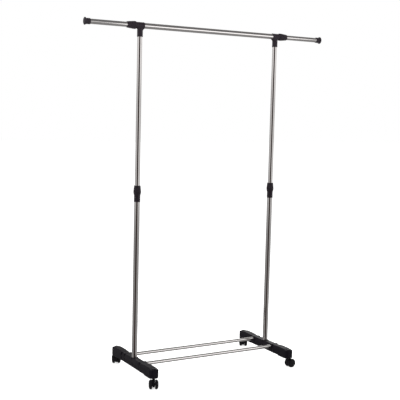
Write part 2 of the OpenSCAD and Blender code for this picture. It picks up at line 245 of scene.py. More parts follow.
def mesh_surface(distance, low, high, step):
    """Surface nets on a regular grid, with the points then drawn onto the surface."""
    axes = [np.arange(low[i] - 1.5 * step, high[i] + 2.5 * step, step) for i in range(3)]
    grid = distance(*np.meshgrid(*axes, indexing="ij"))
    grid = np.where(np.abs(grid) < 1e-7, 1e-7, grid)
    inside = grid < 0
    cells = tuple(size - 1 for size in grid.shape)

    def corner(offset):
        return grid[tuple(slice(k, size + k) for k, size in zip(offset, cells))]

    # each cell that the surface crosses gets one point, the mean of its edge crossings
    total = np.zeros(cells + (3,))
    count = np.zeros(cells)
    for axis in range(3):
        side_a, side_b = [other for other in range(3) if other != axis]
        for a in (0, 1):
            for b in (0, 1):
                offset = [0, 0, 0]
                offset[side_a], offset[side_b] = a, b
                start = corner(offset)
                offset[axis] = 1
                end = corner(offset)
                cross = (start < 0) != (end < 0)
                t = np.where(cross, start / np.where(cross, start - end, 1), 0)
                count += cross
                total[..., axis] += np.where(cross, t, 0)
                total[..., side_a] += np.where(cross, a, 0)
                total[..., side_b] += np.where(cross, b, 0)
    active = count > 0
    cell = np.argwhere(active)
    index = np.full(cells, -1, np.int64)
    index[active] = np.arange(len(cell))
    origin = np.array([axis[0] for axis in axes])
    points = (cell + total[active] / count[active][:, None]) * step + origin

    # each grid edge that the surface crosses gets one face, between the four cells round it
    faces = []
    for axis in range(3):
        first, second = [slice(None)] * 3, [slice(None)] * 3
        first[axis], second[axis] = slice(0, -1), slice(1, None)
        edges = np.argwhere(inside[tuple(first)] != inside[tuple(second)])
        a, b = [(1, 2), (2, 0), (0, 1)][axis]
        edges = edges[(edges[:, a] > 0) & (edges[:, b] > 0)
                      & (edges[:, a] < cells[a]) & (edges[:, b] < cells[b])]
        quads = []
        for da, db in ((-1, -1), (0, -1), (0, 0), (-1, 0)):
            around = edges.copy()
            around[:, a] += da
            around[:, b] += db
            quads.append(index[tuple(around.T)])
        quads = np.stack(quads, 1)
        flip = ~inside[tuple(edges.T)]
        quads[flip] = quads[flip][:, ::-1]
        faces.append(quads)

    reach = 0.02                            # half the gap used to measure the slope
    for _ in range(4):
        slope = np.stack([distance(*(points + nudge).T) - distance(*(points - nudge).T)
                          for nudge in reach * np.eye(3)], 1) / (2 * reach)
        steepness = np.maximum((slope * slope).sum(1), 0.25)
        move = -(distance(*points.T) / steepness)[:, None] * slope
        length = np.linalg.norm(move, axis=1, keepdims=True)
        points = points + move * np.minimum(1, 0.5 * step / np.maximum(length, 1e-9)) * 0.8
    return points, np.concatenate(faces)


# ---------------------------------------------------------------------------
# Shader graphs
# ---------------------------------------------------------------------------
class Graph:
    """Node tree of a material or a world."""

    def __init__(self, owner):
        owner.use_nodes = True
        self.tree = owner.node_tree
        self.tree.nodes.clear()

    def add(self, kind, inputs=None, **settings):
        """inputs maps a socket's name or number to a value or to another node's output."""
        node = self.tree.nodes.new(kind)
        for key, value in settings.items():
            setattr(node, key, value)
        for key, value in (inputs or {}).items():
            if isinstance(value, bpy.types.NodeSocket):
                self.tree.links.new(value, node.inputs[key])
            else:
                node.inputs[key].default_value = value
        return node

    def math(self, operation, a, b=0.0):
        return self.add("ShaderNodeMath", {0: a, 1: b}, operation=operation).outputs[0]

    def ramp(self, value, over, to=(0.0, 1.0), smooth=False):
        """Maps the range over onto the range to."""
        return self.add("ShaderNodeMapRange", {
            "Value": value, "From Min": over[0], "From Max": over[1],
            "To Min": to[0], "To Max": to[1],
        }, interpolation_type="SMOOTHSTEP" if smooth else "LINEAR").outputs[0]

    def mix(self, factor, a, b, blend="MIX"):
        return self.add("ShaderNodeMix", {0: factor, 6: a, 7: b},
                        data_type="RGBA", blend_type=blend).outputs[2]

    def shader(self, kind, color, strength):
        return self.add(kind, {"Color": color, "Strength": strength}).outputs[0]

    def mix_shader(self, factor, a, b):
        return self.add("ShaderNodeMixShader", {0: factor, 1: a, 2: b}).outputs[0]


class Material(Graph):
    """A Principled material with textures in object space."""

    def __init__(self, name):
        self.material = bpy.data.materials.new(name)
        super().__init__(self.material)
        self.coord = self.add("ShaderNodeTexCoord").outputs["Object"]

    def scaled_coord(self, scale):
        inputs = {"Vector": self.coord, "Scale": scale}
        return self.add("ShaderNodeMapping", inputs).outputs[0]

    def noise(self, scale, detail, rough, distortion=0.0, vector=None):
        return self.add("ShaderNodeTexNoise", {
            "Vector": vector or self.coord, "Scale": scale, "Detail": detail,
            "Roughness": rough, "Distortion": distortion,
        }).outputs["Fac"]

    def bump(self, height, distance, strength, below=None):
        """distance in metres; below is the bump that this one adds to."""
        inputs = {"Height": height, "Distance": distance, "Strength": strength}
        if below is not None:
            inputs["Normal"] = below
        return self.add("ShaderNodeBump", inputs).outputs[0]

    def finish(self, **inputs):
        """Takes Principled input names with _ for spaces."""
        inputs = {key.replace("_", " "): value for key, value in inputs.items()}
        surface = self.add("ShaderNodeBsdfPrincipled", inputs).outputs[0]
        self.add("ShaderNodeOutputMaterial", {0: surface})
        return self.material


def rgba(color, factor=1.0):
    return (*[channel * factor for channel in color], 1)


# ---------------------------------------------------------------------------
# Materials
# ---------------------------------------------------------------------------
def tube_material(name, axis):
    """Polished steel: drawing lines along the axis, with faint streaks and smears."""
    m = Material(name)

    def drawn(across, along, detail, rough):
        scale = [across] * 3
        scale[axis] = along
        return m.noise(scale=1.0, detail=detail, rough=rough, vector=m.scaled_coord(scale))

    tint, smudge_tint = (0.83, 0.80, 0.79), (0.83 * 0.8, 0.80 * 0.78, 0.79 * 0.76)
    lines = drawn(across=900.0, along=3.0, detail=4.0, rough=0.6)
    streak = drawn(across=260.0, along=9.0, detail=3.0, rough=0.5)
    smear = m.noise(scale=9.0, detail=3.0, rough=0.55, distortion=0.6)
    smudge = m.noise(scale=38.0, detail=4.0, rough=0.6, distortion=0.4)
    smudge = m.ramp(smudge, over=(0.52, 0.7))
    rough = m.ramp(smear, over=(0.35, 0.65), to=(0.055, 0.085))
    rough = m.math("ADD", rough, m.math("MULTIPLY", smudge, 0.04))
    rough = m.math("ADD", rough, m.ramp(lines, over=(0.3, 0.7), to=(-0.015, 0.03)))
    base = m.mix(m.ramp(streak, over=(0.35, 0.65)), rgba(tint, 0.93), rgba(tint))
    base = m.mix(m.math("MULTIPLY", smudge, 0.25), base, rgba(smudge_tint))
    normal = m.bump(lines, distance=0.000012, strength=0.35)
    waves = m.noise(scale=60.0, detail=2.0, rough=0.5)
    normal = m.bump(waves, distance=0.00003, strength=0.25, below=normal)
    return m.finish(Base_Color=base, Roughness=rough, Metallic=1.0, Anisotropic=0.25,
                    Normal=normal)


def plastic_material(name, color, rough, grain=1.0, top_dust_and_highlight=0.15, wear_and_edge_highlight=0.35, specular=0.5):
    """Moulded plastic: fine grain, patchy sheen, rubbed edges that are partly a painted
    highlight, and a little settled dust on upward faces that is partly a painted highlight on
    the tops.
    """
    m = Material(name)
    fine_grain = m.noise(scale=1400.0, detail=2.0, rough=0.6)
    coarse_grain = m.noise(scale=420.0, detail=3.0, rough=0.55)
    patch = m.noise(scale=22.0, detail=4.0, rough=0.6, distortion=0.3)
    rubs = m.noise(scale=90.0, detail=5.0, rough=0.65)
    geometry = m.add("ShaderNodeNewGeometry")
    # Convex edges, broken up by noise, are mixed towards a paler colour: rubbed wear, and partly
    # a painted highlight along the edges.
    edge = m.ramp(geometry.outputs["Pointiness"], over=(0.515, 0.56))
    edge = m.math("MULTIPLY", edge, m.ramp(rubs, over=(0.35, 0.6)))
    facing = m.add("ShaderNodeSeparateXYZ", {0: geometry.outputs["Normal"]})
    # Upward faces, broken up by specks, are mixed towards a pale grey: settled dust, and partly
    # a painted highlight on the tops.
    upward = m.ramp(facing.outputs[2], over=(0.55, 0.98))
    specks = m.ramp(m.noise(scale=55.0, detail=6.0, rough=0.7), over=(0.42, 0.72))
    dusted_and_highlit = m.math("MULTIPLY", m.math("MULTIPLY", upward, specks), top_dust_and_highlight)

    # paler edge colour: rubbed wear, and partly a painted highlight
    worn_and_highlight_color = rgba([min(1, channel * 2.2 + 0.02) for channel in color])
    dust_and_highlight_color = (0.20, 0.195, 0.19, 1)
    base = m.mix(m.ramp(patch, over=(0.3, 0.7)), rgba(color, 0.85), rgba(color, 1.15))
    base = m.mix(m.math("MULTIPLY", edge, wear_and_edge_highlight), base, worn_and_highlight_color)
    base = m.mix(dusted_and_highlit, base, dust_and_highlight_color)
    sheen = m.ramp(patch, over=(0.3, 0.7), to=(rough - 0.05, rough + 0.07))
    sheen = m.math("ADD", sheen, m.ramp(coarse_grain, over=(0.3, 0.7), to=(-0.03, 0.04)))
    sheen = m.math("SUBTRACT", sheen, m.math("MULTIPLY", edge, 0.08))
    sheen = m.math("ADD", sheen, m.math("MULTIPLY", dusted_and_highlit, 0.6))
    normal = m.bump(fine_grain, distance=0.00002 * grain, strength=0.6)
    normal = m.bump(coarse_grain, distance=0.00004 * grain, strength=0.4, below=normal)
    normal = m.bump(rubs, distance=0.00006 * grain, strength=0.15, below=normal)
    return m.finish(Base_Color=base, Roughness=sheen, Specular_IOR_Level=specular,
                    Specular_Tint=(1.0, 0.93, 1.06, 1), Normal=normal)


def wheel_material(name):
    """Hard black nylon, scuffed grey in places and along its edges."""
    m = Material(name)
    color = (0.0030, 0.0027, 0.0037)
    scuff_color, edge_color = (0.06, 0.058, 0.057, 1), (0.08, 0.08, 0.08, 1)
    patch = m.noise(scale=60.0, detail=4.0, rough=0.6)
    scuff = m.noise(scale=340.0, detail=5.0, rough=0.7, distortion=0.5)
    scuff = m.ramp(scuff, over=(0.5, 0.66))
    fine = m.noise(scale=1500.0, detail=2.0, rough=0.5)
    edge = m.add("ShaderNodeNewGeometry").outputs["Pointiness"]
    edge = m.ramp(edge, over=(0.52, 0.58))
    base = m.mix(m.ramp(patch, over=(0.3, 0.7)), rgba(color), rgba(color, 1.5))
    base = m.mix(m.math("MULTIPLY", scuff, 0.14), base, scuff_color)
    base = m.mix(m.math("MULTIPLY", edge, 0.18), base, edge_color)
    rough = m.ramp(patch, over=(0.3, 0.7), to=(0.3, 0.4))
    rough = m.math("ADD", rough, m.math("MULTIPLY", scuff, 0.15))
    normal = m.bump(fine, distance=0.000015, strength=0.5)
    normal = m.bump(scuff, distance=0.00002, strength=0.4, below=normal)
    return m.finish(Base_Color=base, Roughness=rough, Specular_IOR_Level=0.17, Normal=normal)


def zinc_material(name):
    """Zinc-plated steel: small spangles and fine lines along Z."""
    m = Material(name)
    spangle = m.add("ShaderNodeTexVoronoi", {"Vector": m.coord, "Scale": 700.0})
    lines = m.noise(scale=1.0, detail=3.0, rough=0.6,
                    vector=m.scaled_coord((1200.0, 1200.0, 60.0)))
    base = m.mix(m.ramp(spangle.outputs["Distance"], over=(0.1, 0.7)),
                 (0.60, 0.61, 0.63, 1), (0.50, 0.51, 0.535, 1))
    rough = m.ramp(lines, over=(0.3, 0.7), to=(0.24, 0.42))
    normal = m.bump(lines, distance=0.00002, strength=0.4)
    return m.finish(Base_Color=base, Metallic=1.0, Roughness=rough, Normal=normal)


MATERIALS = {
    "tube_z": tube_material("polished_tube_upright", axis=2),
    "tube_x": tube_material("polished_tube_level", axis=0),
    "black": plastic_material("black_moulded_plastic", (0.0145, 0.0112, 0.0142),
                              rough=0.33, specular=0.36),
    "collar": plastic_material("black_clamp_plastic", (0.0080, 0.0056, 0.0076),
                               rough=0.28, specular=0.40),
    "foot": plastic_material("black_foot_plastic", (0.0040, 0.0031, 0.0054),
                             rough=0.36, grain=1.4, top_dust_and_highlight=0.05, specular=0.13),
    "guide": plastic_material("grey_slide_plastic", (0.06, 0.06, 0.064),
                              rough=0.45, top_dust_and_highlight=0.0, wear_and_edge_highlight=0.1),
    "wheel": wheel_material("black_nylon_wheel"),
    "caster": plastic_material("black_caster_plastic", (0.005, 0.0048, 0.006),
                               rough=0.38, top_dust_and_highlight=0.05, specular=0.2),
    "zinc": zinc_material("zinc_plated_steel"),
}


# ---------------------------------------------------------------------------
# Handing pieces to the frame
# ---------------------------------------------------------------------------
def dress(obj, material, body, node):
    """Gives obj its material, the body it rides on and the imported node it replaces."""
    obj.data.materials.clear()
    obj.data.materials.append(MATERIALS[material])
    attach(obj, body)
    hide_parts(node)


def add_moulding(name, surface, offset, material, body, node, mirror=1):
    """Adds a copy of a meshed surface; mirror = -1 reverses it in X."""
    verts, faces = surface
    if mirror < 0:
        faces = faces[:, ::-1]
    obj = add_object(name, verts * (mirror, 1, 1) + offset, faces, sharp=0, weld=False)
    dress(obj, material, body, node)


def paint(node, material):
    """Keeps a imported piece's shape and gives it a new material."""
    mesh = frame["nodes"][node].data
    mesh.materials.clear()
    mesh.materials.append(MATERIALS[material])
    mesh.polygons.foreach_set("use_smooth", [True] * len(mesh.polygons))
    mesh.set_sharp_from_angle(angle=math.radians(30))


# ---------------------------------------------------------------------------
# Tubes
# ---------------------------------------------------------------------------
def add_tube(name, radius, wall, span, origin, axis, material, body, node):
    """A tube with chamfered ends, between two distances along axis from origin."""
    chamfer, bore = 0.25, radius - wall
    start, end = span
    length = end - start
    rings = max(2, int(length / 60))
    profile = [(bore, start + chamfer), (bore + chamfer, start), (radius - chamfer, start),
               (radius, start + chamfer)]
    profile += [(radius, start + chamfer + (length - 2 * chamfer) * i / rings)
                for i in range(1, rings)]
    profile += [(radius, end - chamfer), (radius - chamfer, end), (bore + chamfer, end),
                (bore, end - chamfer)]
    verts, faces = revolve(profile, 96, closed=True)
    obj = add_object(name, place(verts, origin, axis), faces, sharp=40)
    dress(obj, material, body, node)


def add_tubes():
    for side, sign in SIDES:
        post = (sign * POST_X, 0, 0), (0, 0, 1), "tube_z"
        add_tube(f"{side}_lower_post_tube", WIDE_R, TUBE_WALL, LOWER_Z, *post,
                 "base", f"{side}_lower_post")
        add_tube(f"{side}_upper_post_tube", SLIM_R, TUBE_WALL, UPPER_Z, *post,
                 "top_frame", f"{side}_upper_post")
        add_tube(f"{side}_extension_tube", SLIM_R, TUBE_WALL, EXTENSION_X[side],
                 (0, 0, RAIL_Z), (sign, 0, 0), "tube_x",
                 f"{side}_extension", f"{side}_extension_rail")
    add_tube("middle_rail_tube", WIDE_R, TUBE_WALL, (-RAIL_HALF, RAIL_HALF),
             (0, 0, RAIL_Z), (1, 0, 0), "tube_x", "top_frame", "middle_rail")
    for end, sign in ENDS:
        add_tube(f"{end}_bottom_bar_tube", BAR_R, BAR_WALL, (-BAR_HALF, BAR_HALF),
                 (0, sign * BAR_Y, BAR_Z), (1, 0, 0), "tube_x", "base", f"{end}_bottom_bar")


add_tubes()


# ---------------------------------------------------------------------------
# Feet: a low beam with a deeper block at each end; x runs inboard from the post's axis
# ---------------------------------------------------------------------------
FOOT_WALL = 2.5
BEAM_RIM = 48                               # height of the beam's lower edge
BLOCK_RIM = 44.5                            # height of the blocks' lower edge
BLOCK_HALF = 22.5
TIP_R = 19.0                                # corners of the foot's ends, seen from above
POST_BOSS_R = 17.5
BAR_BOSS_R = BAR_R + 3
RIB_HALF = 1.1
STEM_BORE = 4.05                            # hole for the caster's stem


def beam_section(bottom):
    """(x, z) outline across the foot."""
    return [(-20.5, bottom), (20.5, bottom), (20.5, 70), (13.5, 84.5), (-13.5, 84.5),
            (-20.5, 70)]


def block_section(bottom):
    """(x, z) outline across the foot."""
    return [(-BLOCK_HALF, bottom), (BLOCK_HALF, bottom), (BLOCK_HALF, 79), (15.5, 88),
            (-15.5, 88), (-BLOCK_HALF, 79)]


def block_profile(bottom, rim):
    """(y, z) outline along the foot; rim is the lower edge nearer the post."""
    tip = FOOT_HALF
    return [(tip - 116, rim), (tip - 74, rim), (tip - 66, bottom), (tip, bottom), (tip, 77),
            (tip - 6, 83), (tip - 38, 88), (tip - 84, 88), (tip - 112, 84)]


def foot_plan(x, y):
    """Parallel sides with a rounded tip."""
    side, tip = np.abs(x) - (BLOCK_HALF - TIP_R), y - (FOOT_HALF - TIP_R)
    outside = np.hypot(np.maximum(side, 0), np.maximum(tip, 0))
    return outside + np.minimum(np.maximum(side, tip), 0) - TIP_R


def foot_skin(x, y, z):
    beam = polygon(x, z, beam_section(BEAM_RIM))
    beam = np.maximum(beam, y - (FOOT_HALF - 100))
    # side panels set back between the bosses
    panel = np.maximum(19.7 - np.abs(x), slab(z, 51.5, 68))
    for start, end in ((21, BAR_Y - 14), (BAR_Y + 14, FOOT_HALF - 118)):
        beam = carve(beam, np.maximum(panel, slab(y, start, end)), 0.8)
    block = smooth_max(polygon(x, z, block_section(BLOCK_RIM)),
                       polygon(y, z, block_profile(BLOCK_RIM, BEAM_RIM)), 2.2)
    block = smooth_max(block, foot_plan(x, y), 3.0)
    skin = smooth_min(beam, block, 2.5)
    post_boss = cylinder(x, y, POST_BOSS_R, z, BEAM_RIM, 85.3, rim=1.4)
    skin = smooth_min(skin, post_boss, 1.6)
    bar_boss = cylinder(y - BAR_Y, z - BAR_Z, BAR_BOSS_R, x, -19.5, 21.5, rim=1.2)
    skin = smooth_min(skin, bar_boss, 2.5)
    # low tapered pad over the caster socket
    pad = np.hypot(x, y - CASTER_Y) - 10.2 + (z - 83) * 0.25
    return smooth_min(skin, smooth_max(pad, slab(z, 78, 86.8), 1.2), 1.2)


def foot_cavity(x, y, z):
    """Hollow underside, less the solid bosses and ribs left standing in it."""
    # these outlines run on below the foot, so the hollow is open underneath
    beam = polygon(x, z, beam_section(20)) + FOOT_WALL
    block = np.maximum(polygon(x, z, block_section(16)), polygon(y, z, block_profile(16, 16)))
    block = np.maximum(block, foot_plan(x, y)) + FOOT_WALL
    cavity = smooth_min(np.maximum(beam, y - (FOOT_HALF - 106)), block, 1.0)
    solid = np.minimum.reduce([
        np.maximum(np.hypot(x, y) - POST_BOSS_R, z - 90),
        np.hypot(y - BAR_Y, z - BAR_Z) - BAR_BOSS_R,
        np.hypot(x, y - CASTER_Y) - 8.5,
        # wall straight down to the rim under each bar
        np.maximum(np.abs(y - BAR_Y) - 5.5, z - BAR_Z)])
    # cross ribs, and a spine from the last of them to the tip
    last = FOOT_HALF - 62
    ribs = np.minimum.reduce([np.abs(y - rib) - RIB_HALF for rib in (37.0, 104.0, last)])
    ribs = np.minimum(ribs, np.maximum(np.abs(x) - RIB_HALF, last - y))
    ribs = np.maximum(ribs, 51.0 - z)
    return carve(cavity, smooth_min(solid, ribs, 1.0), 1.0)


def foot_distance(x, y, z):
    y = np.abs(y)                           # both ends are alike
    foot = carve(foot_skin(x, y, z), foot_cavity(x, y, z), 0.5)
    holes = (                               # hole, rounding of its edge
        (cylinder(x, y, WIDE_BORE, z, 58, 200), 0.5),                       # post socket
        (cylinder(x, y, 3.2, z, 0, 60), 0.3),                               # below the post
        (cylinder(x, y, 6.5, z, 0, 52), 0.4),                               # its counterbore
        (cylinder(y - BAR_Y, z - BAR_Z, BAR_R + FIT, x, -8, 60), 0.4),      # bar socket
        (cylinder(x, y - CASTER_Y, STEM_BORE, z, 0, 78), 0.4))              # caster socket
    for hole, rounding in holes:
        foot = carve(foot, hole, rounding)
    return np.maximum(foot, np.abs(x) - BLOCK_HALF)


foot_surface = mesh_surface(foot_distance, (-23, -FOOT_HALF - 1, 43.5),
                            (23, FOOT_HALF + 1, 89), 1.1)
for side, sign in SIDES:
    add_moulding(f"{side}_foot_moulding", foot_surface, (sign * POST_X, 0, 0),
                 "foot", "base", f"{side}_foot", mirror=-sign)


# ---------------------------------------------------------------------------
# Clamp sleeves
# ---------------------------------------------------------------------------
def clamp_fingers(radius, u, v, along, start, end, slot_start):
    """Slotted ring of fingers round a wide tube; u and v cross its axis."""
    fingers = smooth_max(radius - (WIDE_R + 0.6), slab(along, start, end), 0.5)
    slots = np.minimum(np.abs(u), np.abs(v)) - 0.8
    return carve(fingers, np.maximum(slots, slot_start - along), 0.3)


def sleeve_distance(x, y, z):
    radius = np.hypot(x, y)
    shoulder = POST_COLLAR_Z - 0.2
    body = smooth_max(radius - (WIDE_R + 1.5), slab(z, SLEEVE_Z0, shoulder), 0.9)
    # three shallow grooves round the sleeve
    for groove in (SLEEVE_Z0 + 7, SLEEVE_Z0 + 13, SLEEVE_Z0 + 19):
        body = carve(body, np.hypot(radius - (WIDE_R + 2.0), z - groove) - 1.0, 0.4)
    fingers = clamp_fingers(radius, x, y, z, shoulder - 1, SLEEVE_Z1, shoulder + 8)
    bore = np.minimum(np.maximum(radius - SLIM_BORE, SLEEVE_Z0 - z),
                      np.maximum(radius - WIDE_BORE, z - (LOWER_Z[1] + 1)))
    return carve(np.minimum(body, fingers), bore, 0.3)


sleeve_surface = mesh_surface(sleeve_distance, (-15, -15, SLEEVE_Z0), (15, 15, SLEEVE_Z1), 0.55)
for side, sign in SIDES:
    add_moulding(f"{side}_clamp_sleeve", sleeve_surface, (sign * POST_X, 0, 0),
                 "collar", "base", f"{side}_post_sleeve")


# ---------------------------------------------------------------------------
# Twist collars
# ---------------------------------------------------------------------------
FLUTES = 18
FLUTE_DEPTH = 0.95

# (radius, distance along the collar) from the mouth over the wide tube
POST_COLLAR_OUTLINE = spline([
    (14.35, 0), (14.9, 0.7), (15.7, 4), (16.6, 8), (17, 12), (17, 17), (16.4, 22), (15.4, 31),
    (14.7, 39), (14.45, 41), (13.9, POST_COLLAR_LENGTH)], 6)
RAIL_COLLAR_OUTLINE = spline([
    (15.5, 0), (16.45, 0.9), (17.05, 3), (17.1, 6), (17.05, 9.5), (16.35, 17), (15.4, 26),
    (14.2, 36), (13.55, 41.3), (13.35, 42.3), (12.8, RAIL_COLLAR_LENGTH)], 6)


def add_collar(name, outline, depth, length, grip, origin, axis, material, body, node):
    """depth: how far the wide bore runs in; grip: start and end of the fluted band."""
    bore = [(SLIM_R + 0.7, length), (SLIM_R + 0.12, length - 0.5), (SLIM_R + 0.10, depth + 0.3),
            (WIDE_R + 0.4, depth), (WIDE_R + 0.72, depth - 0.5), (WIDE_R + 0.72, 0.6),
            (WIDE_R + 1.1, 0.0)]

    def fluted(angle, r, z, index):
        if index >= len(outline):
            return r
        fade = min(1, max(0, (z - grip[0]) / 2.5)) * min(1, max(0, (grip[1] - z) / 4.0))
        fade = fade * fade * (3 - 2 * fade)
        wave = 0.5 + 0.5 * math.cos(FLUTES * angle)
        return r - fade * FLUTE_DEPTH * wave ** 3

    verts, faces = revolve(outline + bore, FLUTES * 14, closed=True, radial=fluted)
    obj = add_object(name, place(verts, origin, axis), faces, sharp=50)
    dress(obj, material, body, node)


for side, sign in SIDES:
    add_collar(f"{side}_post_twist_collar", POST_COLLAR_OUTLINE, 31.5, POST_COLLAR_LENGTH,
               (9, 36), (sign * POST_X, 0, POST_COLLAR_Z), (0, 0, 1),
               "collar", f"{side}_post_clamp", f"{side}_post_collar")
    add_collar(f"{side}_rail_twist_collar", RAIL_COLLAR_OUTLINE, 32.5, RAIL_COLLAR_LENGTH,
               (4, 38), (sign * (POST_X + RAIL_COLLAR_START), 0, RAIL_Z), (sign, 0, 0),
               "black", f"{side}_rail_clamp", f"{side}_rail_collar")


# ---------------------------------------------------------------------------
# Tees
# ---------------------------------------------------------------------------
def tee_distance(x, y, z):
    """x runs outboard from the post's axis; z is measured from the rail's axis."""
    rail_r, post_r = np.hypot(y, z), np.hypot(x, y)
    body = smooth_max(rail_r - (WIDE_R + 1.8), slab(x, -18, 21), 1.0)
    stem = smooth_max(post_r - (SLIM_R + 1.7), slab(z, TEE_BOTTOM, 0), 0.9)
    tee = smooth_min(body, stem, 5.0)
    # beads round the stem's mouth and the inboard mouth
    bead = smooth_max(post_r - (SLIM_R + 1.9), np.abs(z - (TEE_BOTTOM + 2.0)) - 1.6, 0.8)
    tee = smooth_min(tee, bead, 0.8)
    bead = smooth_max(rail_r - (WIDE_R + 2.1), np.abs(x + 15.6) - 1.8, 0.8)
    tee = smooth_min(tee, bead, 0.8)
    # web from the stem to the inboard end, with a sloping lower edge
    slope = -(z + 19 + 1.09 * (x + 12.6)) * 0.676
    web = np.maximum.reduce([np.abs(y) - 5.0, slab(x, -17.0, 0), z + 8, slope])
    tee = smooth_min(tee, web, 3.0)
    tee = np.minimum(tee, clamp_fingers(rail_r, y, z, x, 20, 52, 29))
    # bores for the middle rail, the extension and the post
    tee = carve(tee, np.maximum(rail_r - WIDE_BORE, x - 14), 0.35)
    tee = carve(tee, np.maximum(rail_r - SLIM_BORE, -x), 0.3)
    tee = carve(tee, np.maximum(post_r - SLIM_BORE, z - (UPPER_Z[1] + 0.05 - RAIL_Z)), 0.35)
    return np.maximum(tee, rail_r - 70)


tee_surface = mesh_surface(tee_distance, (-19, -16, TEE_BOTTOM), (53, 16, 16), 0.6)
for side, sign in SIDES:
    add_moulding(f"{side}_tee_moulding", tee_surface, (sign * POST_X, 0, RAIL_Z),
                 "black", "top_frame", f"{side}_tee", mirror=sign)


# ---------------------------------------------------------------------------
# End caps: (radius, distance outboard from the mouth)
# ---------------------------------------------------------------------------
CAP_OUTER = [(SLIM_BORE + 0.4, 0.0)] + spline([
    (12.3, 0), (12.8, 0.35), (13, 1.2), (13, 8), (13, 16), (13.25, 18), (14.2, 19.9),
    (15.6, 21.2), (16.25, 21.8), (16.45, 22.7), (16.4, 23.8), (15.8, 24.7), (13.5, 25.75),
    (9, 26.55), (4.5, 26.93)], 5) + [(0, 27.0)]
CAP_INNER = [(SLIM_BORE, 0.4), (SLIM_BORE, 22.05), (0, 22.05)]

for side, sign in SIDES:
    verts, faces = revolve_shell(CAP_OUTER, CAP_INNER, 96)
    verts = place(verts, (sign * CAP_X[side], 0, RAIL_Z), (sign, 0, 0))
    obj = add_object(f"{side}_end_stop", verts, faces, sharp=45)
    dress(obj, "black", f"{side}_extension", f"{side}_end_cap")


# ---------------------------------------------------------------------------
# Casters: x along the axle, y from the swivel's axis towards the axle, z from the floor
# ---------------------------------------------------------------------------
TRAIL = 14.0                                # swivel axis to axle
AXLE_Z = 21.0
TREAD_R = 20.99                             # just clear of the floor
AXLE_HUB_HALF = 6.5
FORK_TOP = 42.4

# (y, z) outlines of the web and of the pockets sunk in its two sides
FORK_WEB = [(-4, 9), (TRAIL, 7), (TRAIL + 8.5, 9.5), (TRAIL + 10.5, 16), (TRAIL + 10, 24),
            (TRAIL + 4, 33), (6, 40), (-4, 40)]
FORK_POCKET = [(8.6, 12.5), (TRAIL + 5.5, 13.5), (TRAIL + 7, 17.5), (TRAIL + 6.6, 24),
               (TRAIL + 1.5, 30.5), (8.6, 34)]


def fork_distance(x, y, z):
    axle_r = np.hypot(y - TRAIL, z - AXLE_Z)
    fork = smooth_max(polygon(y, z, FORK_WEB), np.abs(x) - 5.5, 1.2)
    pocket = smooth_max(polygon(y, z, FORK_POCKET), 1.6 - np.abs(x), 0.6)
    fork = carve(fork, pocket, 0.6)
    # swivel barrel, its collar, and the hub round the axle
    fork = smooth_min(fork, cylinder(x, y, 6.5, z, 11, FORK_TOP, rim=0.7), 1.2)
    fork = smooth_min(fork, cylinder(x, y, 8.0, z, 39, FORK_TOP, rim=0.6), 1.2)
    fork = smooth_min(fork, smooth_max(axle_r - 5.5, np.abs(x) - AXLE_HUB_HALF, 0.6), 1.0)
    # stem and axle holes
    fork = carve(fork, cylinder(x, y, STEM_BORE, z, 16.9, 80), 0.3)
    fork = carve(fork, axle_r - 2.52, 0.2)
    return np.maximum(np.maximum(fork, np.abs(x) - AXLE_HUB_HALF), z - FORK_TOP)


def wheel_mesh():
    """A wheel about +Z, with z running out from the middle of the caster."""
    bore = 2.55
    # (radius, z): rounded inner shoulder of the tread, then the domed outer face
    outer = [(TREAD_R - 1.6, 6.8)]
    outer += [(TREAD_R - 1.6 * (1 - i / 6) ** 2, 7.4 + i * 0.75) for i in range(7)]
    for i in range(1, 25):
        angle = math.radians(i * 3.75)
        outer.append((TREAD_R - 11 * (1 - math.cos(angle)), 11.9 + 9.2 * math.sin(angle)))
    # ring groove and centre button
    outer += [(9.6, 21.35), (9.2, 21.25), (8.9, 20.8), (8.5, 20.55), (8.0, 20.55), (7.6, 20.8),
              (7.3, 21.3), (6.8, 21.48), (5.0, 21.5), (3.0, 21.5), (0, 21.5)]
    # inner face: rim, recess, hub and blind bore
    inner = [(AXLE_Z - 2.2, 6.8), (AXLE_Z - 3.4, 6.8), (AXLE_Z - 4, 7.3), (AXLE_Z - 4.4, 11.3),
             (AXLE_Z - 4.9, 11.5), (6.6, 11.5), (6.1, 11.2), (6, 7.3), (5.6, 6.8), (bore, 6.8),
             (bore, 7.2), (bore, 19.1), (0, 19.1)]
    verts, faces = revolve_shell(outer, inner, 120)
    # spokes in the recess
    for k in range(6):
        angle = k * math.pi / 3
        along = np.array([math.cos(angle), math.sin(angle)])
        across = np.array([-math.sin(angle), math.cos(angle)])
        first = len(verts)
        corners = [(*(along * radius + across * half_width), z)
                   for z in (7.6, 11.9) for radius in (5.6, 16.9) for half_width in (-0.8, 0.8)]
        verts = np.concatenate([verts, np.array(corners)])
        faces += [tuple(first + i for i in face) for face in (
            (0, 1, 3, 2), (4, 6, 7, 5), (0, 4, 5, 1), (2, 3, 7, 6), (0, 2, 6, 4), (1, 5, 7, 3))]
    return verts, faces


